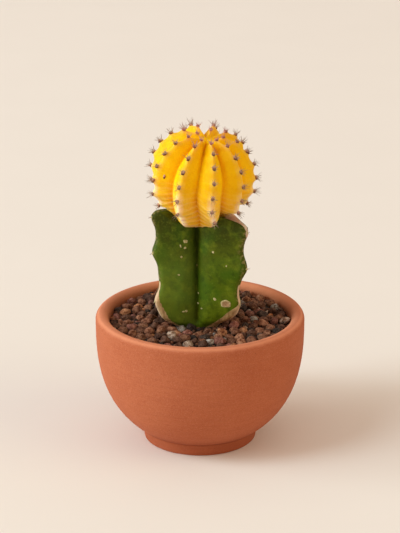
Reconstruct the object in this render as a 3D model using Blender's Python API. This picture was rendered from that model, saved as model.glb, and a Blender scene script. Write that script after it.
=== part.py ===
"""A potted moon cactus: a grafted, ribbed ball on a three-winged stock, in a terracotta bowl of gravel.

All sizes below are in millimetres; solid() scales them to Blender's metres. +Z is up, the origin is
the centre of the pot's foot, and -Y is the front. Azimuths run from the front towards +X.
"""

import math
import random

import bmesh
import bpy
from mathutils import Euler, Vector

MM = 0.001
GAP = 0.3  # running gap between solids that touch

# Pot: a turned bowl on a foot ring
POT_RADIUS = 45.0
POT_HEIGHT = 57.1
WAIST_Z = 54.2  # height at which the bowl is widest
BOWL_DROP = 56.3  # from the widest point down to where the bowl's curve would close
BOWL_POWER = 2.75  # above 2 makes the bowl fuller than an ellipse
CAVITY_RADIUS = 39.3
CAVITY_DROP = 50.6
FLOOR_Z = 8.4
FLOOR_RADIUS = 18.4
FOOT_RADIUS = 25.2
FOOT_BASE_RADIUS = 24.3
FOOT_HEIGHT = 5.0
FOOT_RECESS_RADIUS = 20.0
FOOT_RECESS_DEPTH = 2.4
DRAIN_RADIUS = 5.5
POT_SIDES = 40

# Filling
SOIL_TOP_Z = 45.4
GRAVEL_Z = 50.8  # the bed that the pebbles are sunk in, at the wall
GRAVEL_MOUND = 1.4
PEBBLE_SEED = 11
PEBBLE_RADII = (2.9, 1.8)  # largest and smallest
PEBBLE_TRIES = 9000
PEBBLE_REACH = 1.2  # a pebble's furthest point, as a share of its radius
PEBBLE_OVERLAP = 0.9  # distance between neighbours, as a share of their radii together

# Rootstock: three wings round a core, each with its edge as (height, reach from the stock's axis)
STOCK_X = -0.9  # the stock's axis from the pot's
STOCK_END_Z = 36.0
STOCK_END_BULGE = 0.8  # the buried end's middle, below its rim
WING_AZIMUTHS = (-65.0, 55.0, 175.0)
WING_EDGES = (
    ((46, 8.4), (51.5, 9.7), (57.2, 17.0), (64, 17.2), (76, 18.0), (103, 19.2), (106, 16.6)),
    ((46, 8.5), (52.8, 10.3), (58.6, 18.3), (65, 18.8), (76, 21.8), (99.5, 23.0), (102, 20.4)),
    ((46, 8.7), (52.5, 10.2), (58.5, 17.1), (65, 18.2), (76, 20.3), (100, 20.3), (103.5, 17.8)),
)
WING_AREOLES = (  # (height, how far the edge stands out there)
    ((64.6, 3.0), (86.6, 2.3), (102.6, 2.2)),
    ((64.6, 2.7), (81.4, 2.7), (97.5, 2.3)),
    ((64.9, 2.2), (81.7, 2.0), (98.2, 2.2)),
)
WING_AREOLE_SPREAD = 4.3
WING_TOPS = (104.8, 101.2, 102.6)
GROOVE_RADIUS = 7.2
GROOVE_TOP_Z = 98.5
WING_BULGE = 0.24  # how far a wing's faces swell past straight lines from edge to groove
WING_KEENNESS = 3.2  # how much further the faces would meet than the rounded edge reaches
WING_STEPS = (0, 4, 10, 20, 34, 48, 60)  # degrees from a wing's middle to the groove
BURIED_ROWS = (36.0, 38.5, 46.0, 51.0, 53.2)
STOCK_ROWS = 17  # above the buried ones

# Scion: a ball of ribs, leaning on its seat in the stock's top
BALL_RADIUS = 21.6
BALL_RISE = 20.2  # from the ball's widest level to where its crown would be without the dip
BALL_FALL = 24.2  # from the widest level to where the ball's lower half would close
BALL_POWER = 2.3  # of the lower half's curve: above 2 makes it fuller than an ellipse
BALL_CENTRE_Z = 23.2  # the widest level above the cut base
BASE_POLAR = 160.0  # degrees from the crown to the edge of the cut base
CROWN_DIP = 0.2  # share of the radius
CROWN_SPREAD = 22.0
RIB_AZIMUTHS = (12.0, 49.0, 86.0, 126.0, 168.0, 210.0, 252.0, 292.0, 333.0)
RIB_DEPTH = 4.7
RIB_POWER = 1.5
RIB_STEPS = 3  # columns from a crest to a furrow
BALL_ROWS = 24
AREOLE_FIRST = (24.0, 16.0, 20.0, 27.0, 18.0, 25.0, 14.0, 26.0, 18.0)  # on each rib, from the crown
AREOLE_STEP = 16.3
AREOLE_LAST = 127.0
CHIN_HEIGHT = 0.8
CHIN_SPREAD = 4.6
SEAT = Vector((-1.8, 3.0, 96.6))  # centre of the scion's cut base
LEAN = Euler((math.radians(10.0), math.radians(7.0), 0.0))
PAD_RADIUS = 1.1
SPINE_RADIUS = 0.28
SPINE_OFFSET = 0.5  # of each spine's root from its areole's middle
SPINE_LENGTHS = (4.2, 3.5, 3.5)
SPINE_TURNS = (180.0, 62.0, -62.0)  # round the areole, from the crown's direction
SPINE_SPLAYS = (48.0, 58.0, 58.0)  # away from straight out
SPINE_SEED = 5

TERRACOTTA = ((0.60, 0.22, 0.10), 0.9)
POTTING_MIX = ((0.05, 0.03, 0.02), 1.0)
GRIT = ((0.16, 0.095, 0.065), 0.95)
DEEP_GREEN = ((0.055, 0.115, 0.02), 0.5)
GOLDEN_YELLOW = ((0.85, 0.42, 0.01), 0.42)


def clear_scene():
    for obj in list(bpy.data.objects):
        bpy.data.objects.remove(obj)


def material(name, look):
    colour, roughness = look
    made = bpy.data.materials.new(name)
    made.use_nodes = True
    shader = made.node_tree.nodes["Principled BSDF"]
    shader.inputs["Base Color"].default_value = (*colour, 1.0)
    shader.inputs["Roughness"].default_value = roughness
    shader.inputs["Metallic"].default_value = 0.0
    return made


def solid(name, points, faces, look=None, smooth_angle=None):
    """A mesh object from millimetre points, with its faces turned outwards."""
    mesh = bpy.data.meshes.new(name)
    mesh.from_pydata([Vector(p) * MM for p in points], [], faces)
    work = bmesh.new()
    work.from_mesh(mesh)
    bmesh.ops.triangulate(work, faces=work.faces)
    bmesh.ops.recalc_face_normals(work, faces=work.faces)
    work.to_mesh(mesh)
    work.free()
    obj = bpy.data.objects.new(name, mesh)
    bpy.context.scene.collection.objects.link(obj)
    if look:
        mesh.materials.append(material(name, look))
    if smooth_angle:
        mesh.shade_smooth()
        mesh.set_sharp_from_angle(angle=math.radians(smooth_angle))
    return obj


def skin(rings, start=None, end=None, looped=False):
    """Points and faces through rings of equal length, closed by an end point or by looping round."""
    sides = len(rings[0])
    points = [p for ring in rings for p in ring]
    faces = []
    for i in range(len(rings) if looped else len(rings) - 1):
        low = i * sides
        high = (i + 1) % len(rings) * sides
        for j in range(sides):
            k = (j + 1) % sides
            faces.append((low + j, low + k, high + k, high + j))
    for tip, ring in ((start, 0), (end, len(rings) - 1)):
        if tip is None:
            continue
        points.append(tip)
        for j in range(sides):
            k = (j + 1) % sides
            faces.append((ring * sides + j, ring * sides + k, len(points) - 1))
    return points, faces


def turned_ring(radius, z, sides):
    angles = [2 * math.pi * j / sides for j in range(sides)]
    return [(radius * math.cos(a), radius * math.sin(a), z) for a in angles]


def boolean(obj, operation, solver="EXACT", cutter=None, collection=None):
    """Applies one Boolean to obj, then removes what it worked with."""
    modifier = obj.modifiers.new("boolean", "BOOLEAN")
    modifier.operation = operation
    modifier.solver = solver
    if collection:
        modifier.operand_type = "COLLECTION"
        modifier.collection = collection
    else:
        modifier.object = cutter
    bpy.context.view_layer.update()
    evaluated = obj.evaluated_get(bpy.context.evaluated_depsgraph_get())
    joined = bpy.data.meshes.new_from_object(evaluated)
    obj.modifiers.clear()
    looks = list(obj.data.materials)
    obj.data = joined
    obj.data.name = obj.name
    joined.materials.clear()
    for look in looks:
        joined.materials.append(look)
    joined.polygons.foreach_set("material_index", [0] * len(joined.polygons))
    for used in list(collection.objects) if collection else [cutter]:
        bpy.data.objects.remove(used)


def smooth(x):
    x = min(1.0, max(0.0, x))
    return x * x * (3 - 2 * x)


def along(outline, z):
    """The value at z on a smooth curve through (z, value) points, flat at each end."""
    if z <= outline[0][0]:
        return outline[0][1]
    for i in range(len(outline) - 1):
        (z0, v0), (z1, v1) = outline[i], outline[i + 1]
        if z <= z1:
            before = outline[max(i - 1, 0)]
            after = outline[min(i + 2, len(outline) - 1)]
            slope0 = (v1 - before[1]) / (z1 - before[0])
            slope1 = (after[1] - v0) / (after[0] - z0)
            t, span = (z - z0) / (z1 - z0), z1 - z0
            return (
                (2 * t**3 - 3 * t**2 + 1) * v0
                + (t**3 - 2 * t**2 + t) * span * slope0
                + (3 * t**2 - 2 * t**3) * v1
                + (t**3 - t**2) * span * slope1
            )
    return outline[-1][1]


# ---------------------------------------------------------------- pot and filling


def bowl(z, radius=POT_RADIUS, drop=BOWL_DROP):
    """Radius of the bowl's curve at height z, up to its widest point."""
    below = max(0.0, WAIST_Z - z) / drop
    return radius * math.sqrt(1 - below**BOWL_POWER)


def cavity(z):
    return bowl(z, CAVITY_RADIUS, CAVITY_DROP)


CAVITY_ROWS = (10.0, 15.0, 23.0, 33.0, SOIL_TOP_Z, GRAVEL_Z)


def make_pot():
    lip = (POT_RADIUS - CAVITY_RADIUS) / 2
    lip_z = POT_HEIGHT - lip
    lip_middle = CAVITY_RADIUS + lip
    profile = [(FOOT_RECESS_RADIUS, 0.0), (FOOT_BASE_RADIUS - 0.6, 0.0), (FOOT_BASE_RADIUS, 0.6)]
    profile += [(FOOT_RADIUS, FOOT_HEIGHT)]
    profile += [(bowl(z), z) for z in (5.8, 9.0, 14.0, 20.0, 28.0, 38.0, WAIST_Z)]
    for turn in (30, 65, 100, 140, 180):
        angle = math.radians(turn)
        profile.append((lip_middle + lip * math.cos(angle), lip_z + lip * math.sin(angle)))
    profile += [(cavity(z), z) for z in reversed(CAVITY_ROWS)]
    profile += [(FLOOR_RADIUS, FLOOR_Z), (DRAIN_RADIUS, FLOOR_Z)]
    profile += [(DRAIN_RADIUS, FOOT_RECESS_DEPTH), (FOOT_RECESS_RADIUS - 0.8, FOOT_RECESS_DEPTH)]
    points, faces = skin([turned_ring(r, z, POT_SIDES) for r, z in profile], looped=True)
    return solid("pot", points, faces, TERRACOTTA, 40)


def make_soil():
    """The potting mix from the pot's floor to the gravel, with the hole that the stock stands in."""
    top = SOIL_TOP_Z - GAP
    rows = [(FLOOR_RADIUS - GAP, FLOOR_Z + GAP)]
    rows += [(cavity(z) - GAP, z) for z in CAVITY_ROWS if z < SOIL_TOP_Z]
    rows += [(cavity(top) - GAP, top)]
    rings = [turned_ring(r, z, POT_SIDES) for r, z in rows]
    points, faces = skin(rings, start=(0, 0, FLOOR_Z + GAP), end=(0, 0, top))
    obj = solid("soil", points, faces, POTTING_MIX, 40)
    boolean(obj, "DIFFERENCE", cutter=stock_sleeve())
    return obj


def bed_height(reach):
    return GRAVEL_Z + GRAVEL_MOUND * (1 - (reach / CAVITY_RADIUS) ** 2)


def pebble_places():
    """(x, y, radius) of each pebble: large ones first, clear of the wall and of the stock."""
    draw = random.Random(PEBBLE_SEED)
    placed = []
    largest, smallest = PEBBLE_RADII
    for attempt in range(PEBBLE_TRIES):
        radius = largest - (largest - smallest) * min(1.0, attempt / PEBBLE_TRIES * 2) * draw.random() ** 0.5
        reach = math.sqrt(draw.random()) * CAVITY_RADIUS
        turn = draw.random() * 2 * math.pi
        x, y = reach * math.cos(turn), reach * math.sin(turn)
        if reach + radius * PEBBLE_REACH > cavity(GRAVEL_Z) - GAP:
            continue
        if any(math.hypot(x - px, y - py) < PEBBLE_OVERLAP * (radius + pr) for px, py, pr in placed):
            continue
        if meets_stock(x, y, radius * PEBBLE_REACH + GAP):
            continue
        placed.append((x, y, radius))
    return placed


def meets_stock(x, y, radius):
    """Whether a pebble that wide would touch the stock where it leaves the gravel."""
    for step in range(16):
        turn = 2 * math.pi * step / 16
        px, py = x + radius * math.cos(turn), y + radius * math.sin(turn)
        for z in (BURIED_ROWS[-1], BURIED_ROWS[-1] + 1.3):
            if math.hypot(px - STOCK_X, py) < stock_reach(azimuth_of(px - STOCK_X, py), z):
                return True
    return math.hypot(x, y) < GROOVE_RADIUS


def make_pebble(index, x, y, radius, draw):
    ball = bmesh.new()
    bmesh.ops.create_icosphere(ball, subdivisions=1, radius=1.0)
    size = (draw.uniform(0.98, 1.12), draw.uniform(0.84, 1.0), draw.uniform(0.7, 0.9))
    turn = Euler((draw.uniform(-0.5, 0.5), draw.uniform(-0.5, 0.5), draw.uniform(0, 6.28))).to_matrix()
    centre = Vector((x, y, bed_height(math.hypot(x, y)) + 0.32 * radius + draw.uniform(-0.35, 0.35)))
    points = []
    for vertex in ball.verts:
        point = vertex.co * draw.uniform(0.88, 1.08)
        points.append(turn @ Vector([point[k] * size[k] * radius for k in range(3)]) + centre)
    faces = [[v.index for v in face.verts] for face in ball.faces]
    ball.free()
    return solid(f"pebble_{index}", points, faces)


def make_gravel():
    """The bed of grit with its top layer of pebbles, and the hole that the stock comes up through."""
    bottom = SOIL_TOP_Z
    rows = [(cavity(bottom) - GAP, bottom), (cavity(GRAVEL_Z) - GAP, GRAVEL_Z)]
    rows += [(reach, bed_height(reach)) for reach in (31.0, 22.0)]
    rings = [turned_ring(r, z, POT_SIDES) for r, z in rows]
    points, faces = skin(rings, start=(0, 0, bottom), end=(0, 0, bed_height(0)))
    obj = solid("gravel", points, faces, GRIT)
    boolean(obj, "DIFFERENCE", cutter=stock_sleeve())
    pebbles = bpy.data.collections.new("pebbles")
    bpy.context.scene.collection.children.link(pebbles)
    draw = random.Random(PEBBLE_SEED + 1)
    for index, (x, y, radius) in enumerate(pebble_places()):
        pebble = make_pebble(index, x, y, radius, draw)
        bpy.context.scene.collection.objects.unlink(pebble)
        pebbles.objects.link(pebble)
    boolean(obj, "UNION", "MANIFOLD", collection=pebbles)
    return obj


# ---------------------------------------------------------------- rootstock


def azimuth_of(x, y):
    return math.degrees(math.atan2(x, -y))


def nearest_wing(azimuth):
    """(index of the nearest wing, degrees from its middle)."""
    turns = [abs((azimuth - middle + 180) % 360 - 180) for middle in WING_AZIMUTHS]
    return turns.index(min(turns)), min(turns)


def wing_edge(wing, z):
    """Distance from the axis to a wing's edge, which stands out at each areole."""
    reach = along(WING_EDGES[wing], z)
    for level, rise in WING_AREOLES[wing]:
        reach += rise * math.exp(-(((z - level) / WING_AREOLE_SPREAD) ** 2))
    return reach


def stock_reach(azimuth, z):
    """Distance from the axis to the stock's skin."""
    wing, turn = nearest_wing(azimuth)
    edge = wing_edge(wing, z)
    away = math.radians(turn)
    sixth = math.radians(60)
    straight = math.sin(sixth) / (
        math.sin(sixth - away) / (edge + WING_KEENNESS) + math.sin(away) / GROOVE_RADIUS
    )
    swell = WING_BULGE * smooth((edge - 8) / 8)
    full = straight * (1 + swell * math.sin(math.pi * turn / 60) ** 0.8)
    return -math.log(math.exp(-1.4 * full) + math.exp(-1.4 * edge)) / 1.4


def stock_top(azimuth):
    wing, turn = nearest_wing(azimuth)
    return GROOVE_TOP_Z + (WING_TOPS[wing] - GROOVE_TOP_Z) * smooth(1.25 - turn / 32)


def stock_columns():
    """The azimuths of the stock's columns, closer together at the edges of the wings."""
    found = []
    for middle in WING_AZIMUTHS:
        found += [middle - turn for turn in reversed(WING_STEPS[1:-1])]
        found += [middle + turn for turn in WING_STEPS]
    return found


def stock_ring(share_or_z, extra=0.0, buried=False):
    ring = []
    for azimuth in stock_columns():
        base = BURIED_ROWS[-1]
        z = share_or_z if buried else base + share_or_z * (stock_top(azimuth) - base)
        reach = stock_reach(azimuth, z) + extra
        if buried and z == STOCK_END_Z:
            reach -= 1.6
        turn = math.radians(azimuth)
        ring.append((STOCK_X + reach * math.sin(turn), -reach * math.cos(turn), z))
    return ring


def stock_sleeve():
    """What the stock's buried end takes out of the filling."""
    rings = [stock_ring(z, GAP, buried=True) for z in BURIED_ROWS]
    rings[0] = [(x, y, z - GAP) for x, y, z in rings[0]]
    start, end = (STOCK_X, 0, STOCK_END_Z - STOCK_END_BULGE - GAP), (STOCK_X, 0, BURIED_ROWS[-1])
    return solid("stock_sleeve", *skin(rings, start, end))


def make_rootstock():
    """The winged stem, with the scion's seat cut into its top."""
    rings = [stock_ring(z, buried=True) for z in BURIED_ROWS]
    rings += [stock_ring((row + 1) / STOCK_ROWS) for row in range(STOCK_ROWS)]
    inner = [(STOCK_X + 0.55 * (x - STOCK_X), 0.55 * y, z + 0.4) for x, y, z in rings[-1]]
    start, end = (STOCK_X, 0, STOCK_END_Z - STOCK_END_BULGE), (STOCK_X, 0, GROOVE_TOP_Z + 3)
    points, faces = skin([*rings, inner], start, end)
    obj = solid("rootstock", points, faces, DEEP_GREEN, 50)
    seat = solid("seat", *ball_skin(GAP))
    place_scion(seat)
    boolean(obj, "DIFFERENCE", cutter=seat)
    return obj


# ---------------------------------------------------------------- scion


def rib_phase(azimuth):
    """(index of the nearest rib, 0 on its crest to 1 in the furrow beside it)."""
    best = None
    count = len(RIB_AZIMUTHS)
    for index, crest in enumerate(RIB_AZIMUTHS):
        turn = (azimuth - crest + 180) % 360 - 180
        beside = RIB_AZIMUTHS[(index + (1 if turn > 0 else -1)) % count]
        half = abs((beside - crest + 180) % 360 - 180) / 2
        phase = abs(turn) / half
        if best is None or phase < best[1]:
            best = (index, phase)
    return best


def areole_angles(rib):
    """Polar angles of one rib's areoles, from the crown down."""
    angle = AREOLE_FIRST[rib]
    found = []
    while angle < AREOLE_LAST:
        found.append(angle)
        angle += AREOLE_STEP
    return found


def chin(rib, polar):
    """How far the crest stands out at its areoles, more so lower down."""
    grown = 0.35 + 0.65 * smooth((polar - 40) / 60)
    return CHIN_HEIGHT * grown * sum(
        math.exp(-(((polar - areole - 1.0) / CHIN_SPREAD) ** 2)) for areole in areole_angles(rib)
    )


def ball_reach(polar, azimuth):
    """Distance from the ball's centre to its skin."""
    rib, phase = rib_phase(azimuth)
    dip = CROWN_DIP * math.exp(-((polar / CROWN_SPREAD) ** 2))
    low = math.radians(polar)
    height, power = (BALL_RISE, 2.0) if polar < 90 else (BALL_FALL, BALL_POWER)
    across = (math.sin(low) / BALL_RADIUS) ** power
    along_axis = (abs(math.cos(low)) / height) ** power
    crest = (1 - dip) / (across + along_axis) ** (1 / power)
    depth = RIB_DEPTH * smooth(polar / 30) * (1 - 0.72 * smooth((polar - 112) / 44))
    crested = (1 - min(1.0, phase)) ** 2
    return crest - depth * phase**RIB_POWER + chin(rib, polar) * crested


def on_ball(polar, azimuth, reach):
    low, turn = math.radians(polar), math.radians(azimuth)
    return Vector((
        reach * math.sin(low) * math.sin(turn),
        -reach * math.sin(low) * math.cos(turn),
        BALL_CENTRE_Z + reach * math.cos(low),
    ))


def ball_columns():
    """The azimuths of the ball's columns, with one on each crest and one in each furrow."""
    found = []
    count = len(RIB_AZIMUTHS)
    for index, crest in enumerate(RIB_AZIMUTHS):
        turn = (RIB_AZIMUTHS[(index + 1) % count] - crest) % 360
        steps = 2 * RIB_STEPS
        found += [crest + turn * step / steps for step in range(steps)]
    return found


def ball_skin(extra=0.0):
    """Points and faces of the ribbed ball, grown by extra all over."""
    rows = [BASE_POLAR * (row + 1) / BALL_ROWS for row in range(BALL_ROWS)]
    rings = [
        [on_ball(polar, azimuth, ball_reach(polar, azimuth) + extra) for azimuth in ball_columns()]
        for polar in rows
    ]
    crown = BALL_CENTRE_Z + BALL_RISE * (1 - CROWN_DIP) + extra
    return skin(rings, (0, 0, crown), (0, 0, -extra))


def place_scion(obj):
    obj.location = SEAT * MM
    obj.rotation_euler = LEAN


def meets_wing(point):
    """Whether a point of the ball, in its own frame, is too near the stock for an areole's spines."""
    x, y, z = LEAN.to_matrix() @ point + SEAT
    azimuth = azimuth_of(x - STOCK_X, y)
    return z < stock_top(azimuth) + 3.5 and math.hypot(x - STOCK_X, y) < stock_reach(azimuth, z) + 5.0


def needle(index, root, direction, length):
    """A three-sided spine, its root sunk in the areole's pad."""
    turn = direction.to_track_quat("Z", "Y").to_matrix()
    corners = [Vector((SPINE_RADIUS * math.cos(a), SPINE_RADIUS * math.sin(a), 0)) for a in (0, 2.094, 4.189)]
    sunk = root - direction * 0.9
    points = [turn @ corner + sunk for corner in corners] + [root + direction * length]
    return solid(f"spine_{index}", points, [(0, 1, 2), (0, 1, 3), (1, 2, 3), (2, 0, 3)])


def make_scion():
    """The ribbed ball with its areoles' pads and their spines, all one body."""
    obj = solid("scion", *ball_skin(), GOLDEN_YELLOW, 32)
    grown = bpy.data.collections.new("grown")
    bpy.context.scene.collection.children.link(grown)
    draw = random.Random(SPINE_SEED)
    for rib, azimuth in enumerate(RIB_AZIMUTHS):
        for polar in areole_angles(rib):
            root = on_ball(polar, azimuth, ball_reach(polar, azimuth) - 0.1)
            outward = (root - Vector((0, 0, BALL_CENTRE_Z))).normalized()
            up = (Vector((0, 0, 1)) - outward * outward.z).normalized()
            side = outward.cross(up)
            if meets_wing(root):
                continue
            pieces = [make_pad(len(grown.objects), root, outward)]
            for length, turn, splay in zip(SPINE_LENGTHS, SPINE_TURNS, SPINE_SPLAYS):
                turn = math.radians(turn + draw.uniform(-14, 14))
                splay = math.radians(splay + draw.uniform(-8, 8))
                flat = up * math.cos(turn) + side * math.sin(turn)
                direction = outward * math.cos(splay) + flat * math.sin(splay)
                start = root + flat * SPINE_OFFSET
                spine_length = length * draw.uniform(0.8, 1.15)
                pieces.append(needle(len(grown.objects) + len(pieces), start, direction, spine_length))
            for piece in pieces:
                bpy.context.scene.collection.objects.unlink(piece)
                grown.objects.link(piece)
    boolean(obj, "UNION", "MANIFOLD", collection=grown)
    place_scion(obj)
    return obj


def make_pad(index, root, outward):
    """The felt pad of an areole: a low four-sided point, half sunk."""
    turn = outward.to_track_quat("Z", "Y").to_matrix()
    angles = [math.tau * j / 4 for j in range(4)]
    ring = [turn @ Vector((PAD_RADIUS * math.cos(a), PAD_RADIUS * math.sin(a), 0.1)) + root for a in angles]
    points, faces = skin([ring], root - outward * 0.7, root + outward * 0.75)
    return solid(f"pad_{index}", points, faces)


clear_scene()
make_pot()
make_soil()
make_gravel()
make_rootstock()
make_scion()
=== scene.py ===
"""The looks of the potted moon cactus: a grafted yellow ball on a three-winged stock, in a terracotta bowl.

Sizes are in millimetres and degrees, and grow() scales them to metres. Lights, camera and materials are
in metres. The plant follows the formulas of the solids on a finer mesh, with a narrower foot to its ball.
Azimuths run from the front (-Y) towards +X, and polar angles from the ball's crown down.
"""

import math
import random

import bmesh
import bpy
import numpy as np
from mathutils import Euler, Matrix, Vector, noise


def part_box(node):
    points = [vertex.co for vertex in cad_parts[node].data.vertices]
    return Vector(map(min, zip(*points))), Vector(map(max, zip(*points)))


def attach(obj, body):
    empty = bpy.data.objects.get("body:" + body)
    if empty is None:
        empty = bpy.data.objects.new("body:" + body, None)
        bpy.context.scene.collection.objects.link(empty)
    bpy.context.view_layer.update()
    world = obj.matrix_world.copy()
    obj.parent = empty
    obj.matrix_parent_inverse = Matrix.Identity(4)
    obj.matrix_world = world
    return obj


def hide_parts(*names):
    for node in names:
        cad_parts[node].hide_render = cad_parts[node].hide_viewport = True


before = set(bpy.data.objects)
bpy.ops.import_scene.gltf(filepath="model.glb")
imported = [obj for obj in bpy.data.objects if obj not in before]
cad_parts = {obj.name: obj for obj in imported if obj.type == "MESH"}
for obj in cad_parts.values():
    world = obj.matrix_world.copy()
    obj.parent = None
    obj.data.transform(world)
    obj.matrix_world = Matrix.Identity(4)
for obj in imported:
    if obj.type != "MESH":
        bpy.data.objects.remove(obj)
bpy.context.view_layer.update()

MM = 0.001

# Pot
POT_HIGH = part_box("pot")[1]
POT_RADIUS = POT_HIGH.x / MM
POT_HEIGHT = POT_HIGH.z / MM
WAIST_Z = 54.2
BOWL_DROP = 56.3
BOWL_POWER = 2.75
CAVITY_RADIUS = 39.3
CAVITY_DROP = 50.6
FLOOR_Z = 8.4
FLOOR_RADIUS = 18.4
FOOT_RADIUS = 25.2
FOOT_BASE_RADIUS = 24.3
FOOT_ROUNDING = 0.6
FOOT_HEIGHT = 5.0
FOOT_RECESS_RADIUS = 20.0
FOOT_RECESS_DEPTH = 2.4
DRAIN_RADIUS = 5.5
POT_SIDES = 192
LIP_LINE_IN = 1.3  # of the fine painted highlight line round the lip's top, from the widest part

# Filling
SOIL_TOP_Z = 45.4
GRAVEL_Z = 51.4
GRAVEL_MOUND = 0.9
GRAVEL_RISE = 1.8  # towards the back
GAP = 0.3  # between the grit bed and the wall
BED_SIDES = 96
# Radii run from the largest to the smallest. Two pebbles are at least spacing times the sum of their
# radii apart, and all are clear of the stock's outline at this level.
TOP_PEBBLES = {"radii": (2.35, 1.2), "tries": 16000, "spacing": 0.9, "level": 54.0}
FILLING_PEBBLES = {"radii": (1.3, 0.7), "tries": 6000, "spacing": 0.8, "level": 53.0}
FINE_PEBBLE_RADIUS = 1.5  # above it a pebble has the finer mesh
PEBBLES_A_PIECE = 140
PEBBLE_SEED = 31

# Rootstock
STOCK_X = -0.9
STOCK_END_Z = 36.0
STOCK_END_BULGE = 0.8
STOCK_END_ROUNDING = 1.6
WING_AZIMUTHS = (-65.0, 55.0, 175.0)
HALF_WING = 60.0  # from a wing's middle to the groove beside it
WING_EDGES = (  # (height, reach from the stem's middle)
    ((46, 8.4), (51.5, 9.7), (57.2, 17.0), (64, 17.2), (76, 18.0), (103, 19.2), (106, 16.6)),
    ((46, 8.5), (52.8, 10.3), (58.6, 18.3), (65, 18.8), (76, 21.8), (99.5, 23.0), (102, 20.4)),
    ((46, 8.7), (52.5, 10.2), (58.5, 17.1), (65, 18.2), (76, 20.3), (100, 20.3), (103.5, 17.8)),
)
WING_AREOLES = (  # (height, how far the edge swells there)
    ((64.6, 3.0), (86.6, 2.3), (102.6, 2.2)),
    ((64.6, 2.7), (81.4, 2.7), (97.5, 2.3)),
    ((64.9, 2.2), (81.7, 2.0), (98.2, 2.2)),
)
WING_AREOLE_SPREAD = 4.3
WING_TOPS = (  # (degrees from the wing's middle, height)
    ((0, 104.4), (7, 104.4), (13, 102.8), (20, 101.0), (30, 99.3), (42, 98.5), (60, 98.5)),
    ((0, 99.8), (3, 101.0), (8, 102.2), (15, 103.0), (23, 102.4), (36, 99.6), (50, 98.5), (60, 98.5)),
    ((0, 102.4), (9, 102.6), (20, 101.2), (32, 99.2), (42, 98.5), (60, 98.5)),
)
CORK_LIMITS = (  # the corky skin's upper limit on each wing, as (degrees from its middle, height)
    ((0, 70.5), (6, 66), (10, 60), (14, 55.2), (22, 52.8), (60, 52)),
    ((0, 66), (3, 64.5), (8, 62), (14, 58.5), (22, 54.8), (30, 53), (60, 52)),
    ((0, 68), (6, 65), (10, 60), (15, 56), (27, 53.4), (60, 52)),
)
GROOVE_RADIUS = 7.2
GROOVE_TOP_Z = 98.5
WING_BULGE = 0.24
WING_KEENNESS = 3.2
EDGE_SHARPNESS = 1.4
BURIED_TOP_Z = 53.2
DRY_WING = 1  # its top edge has dried back
STOCK_ROWS = 112
VALLEY_DEPTH = 2.3  # of the narrow cleft along the middle of each groove
VALLEY_SPREAD = 16.0
SEAT_GAP = 0.05  # round the ball, where it sits in the stock's top
LARGE_SCARS = (  # (azimuth, height, half width, half height, kind)
    (-30, 92, 1.0, 0.8, "ringed"),
    (43, 65, 2.3, 1.8, "pink"),
)
FRONT_SCARS = 13  # small ones
FRONT_SCAR_SEED = 21
OTHER_SCARS = 26  # round the sides and back
SCAR_SEED = 8
SCAR_SIDES = 20
SCAR_PROFILES = {  # (share of the scar's reach, height over the skin), from its rim inwards
    "plain": ((1.0, -0.12), (0.97, 0.06), (0.8, 0.16), (0.55, 0.13), (0.25, 0.12)),
    "ringed": ((1.0, -0.12), (0.97, 0.08), (0.8, 0.2), (0.5, 0.0), (0.3, 0.1)),
    "pink": ((1.0, -0.12), (0.97, 0.06), (0.8, 0.14), (0.55, 0.04), (0.25, 0.02)),
}
TUFT_SEED = 8

# Scion
BALL_RADIUS = 21.6
BALL_RISE = 20.2
BALL_FALL = 24.2
BALL_POWER = 2.3
BALL_CENTRE_Z = 23.2
BASE_POLAR = 160.0
FRONT_TAPER = 0.03  # share of its reach that the ball loses towards its foot
SIDE_TAPER = 0.1
CROWN_DIP = 0.2
CROWN_SPREAD = 22.0
RIB_AZIMUTHS = (12.0, 49.0, 86.0, 126.0, 168.0, 210.0, 253.0, 297.0, 335.0)
RIB_DEPTH = 4.7
FLANK_POWER = 1.35
AREOLE_FIRST = (24.0, 16.0, 20.0, 27.0, 18.0, 25.0, 14.0, 26.0, 18.0)  # polar, on each rib
AREOLE_STEP = 16.3
AREOLE_LAST = 127.0
CHIN_HEIGHT = 1.3
CHIN_SPREAD = 4.2
RIB_DRIFT = (20.0, 9.0, 3.0, 0.0, 0.0, 0.0, 0.0, 2.0, 5.0)  # how far each rib turns by its lower end
END_POINT = Vector((0.0, -7.0, 97.6))  # on the plane that flattens the front ribs' lower ends
END_NORMAL = Vector((0.03, 0.33, 0.94)).normalized()
SEAT = Vector((-1.8, 3.0, 96.6))
LEAN = Euler((math.radians(10.0), math.radians(7.0), 0.0))
SPINE_SEED = 5
SPINES = 11  # at each areole
CROWN_SPINES = 7
SPINE_LENGTHS = (1.7, 2.9)
SPINE_RADIUS = 0.085
HAIRS = 30
HAIR_LENGTHS = (0.35, 0.8)
HAIR_RADIUS = 0.05
SCAB = (83.0, 305.0)  # polar angle and azimuth of a small dry spot between two ribs

# Lights and camera
LOOK_AT = Vector((0, 0, 0.06))
LIGHTS = (  # (name, place from LOOK_AT, size, power, colour)
    ("window", (-4.85, -0.48, 1.21), 4.0, 276.0, (0.8, 0.97, 1.0)),
    ("key", (-3.81, -1.97, 4.73), 2.3, 121.0, (0.69, 0.86, 1.0)),
    ("bounce", (4.04, -1.52, 2.53), 4.0, 50.4, (1.0, 0.98, 0.63)),
)
WORLD_COLOUR = (1.0, 0.835, 0.755)
WORLD_STRENGTH = 0.607
CAMERA_PLACE = (0.0, -0.8607, 0.385)
CAMERA_TILT = 70.34
CAMERA_LENS = 144.6


# -------- meshes


def smooth(x):
    x = min(1.0, max(0.0, x))
    return x * x * (3 - 2 * x)


def add_object(name, data):
    obj = bpy.data.objects.new(name, data)
    bpy.context.scene.collection.objects.link(obj)
    return obj


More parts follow.
